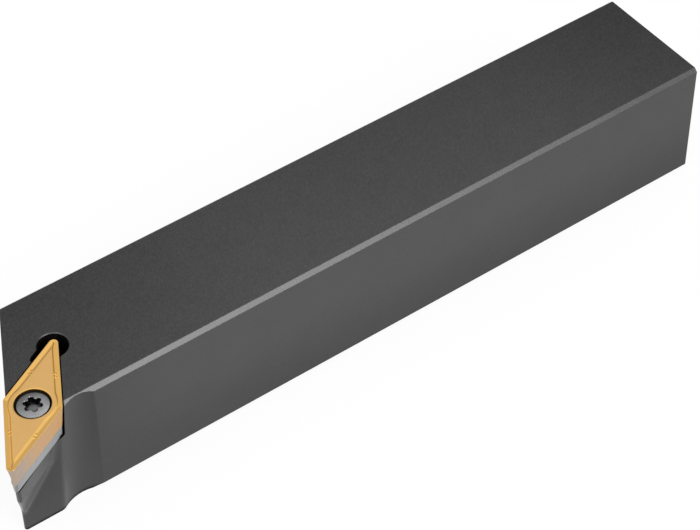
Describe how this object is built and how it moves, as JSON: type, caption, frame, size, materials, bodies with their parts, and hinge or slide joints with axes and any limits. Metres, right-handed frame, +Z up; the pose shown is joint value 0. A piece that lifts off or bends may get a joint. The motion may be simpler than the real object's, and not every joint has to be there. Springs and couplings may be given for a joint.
{
  "type": "indexable turning tool holder",
  "caption": "Right-hand external turning tool holder with a square shank and a rhombic screw-clamped cutting insert on a shim.",
  "frame": {"origin": "on the flat base of the shank, half way along the overall length, on the middle of the shank's width", "axes": "+X along the shank towards the cutting tip, +Y towards the side on which the tip stands out, +Z up, square to the base"},
  "size_m": [0.15, 0.032, 0.025],
  "materials": {
    "blackened_steel": "fine-blasted black oxide",
    "sintered_carbide": "ground grey carbide",
    "screw_steel": "turned and hardened steel",
    "coated_carbide": "golden hard coating, satin"
  },
  "bodies": {
    "root": {"holder_body": "blackened_steel", "shim": "sintered_carbide", "shim_screw": "screw_steel", "insert": "coated_carbide", "insert_screw": "screw_steel"}
  },
  "joints": []
}
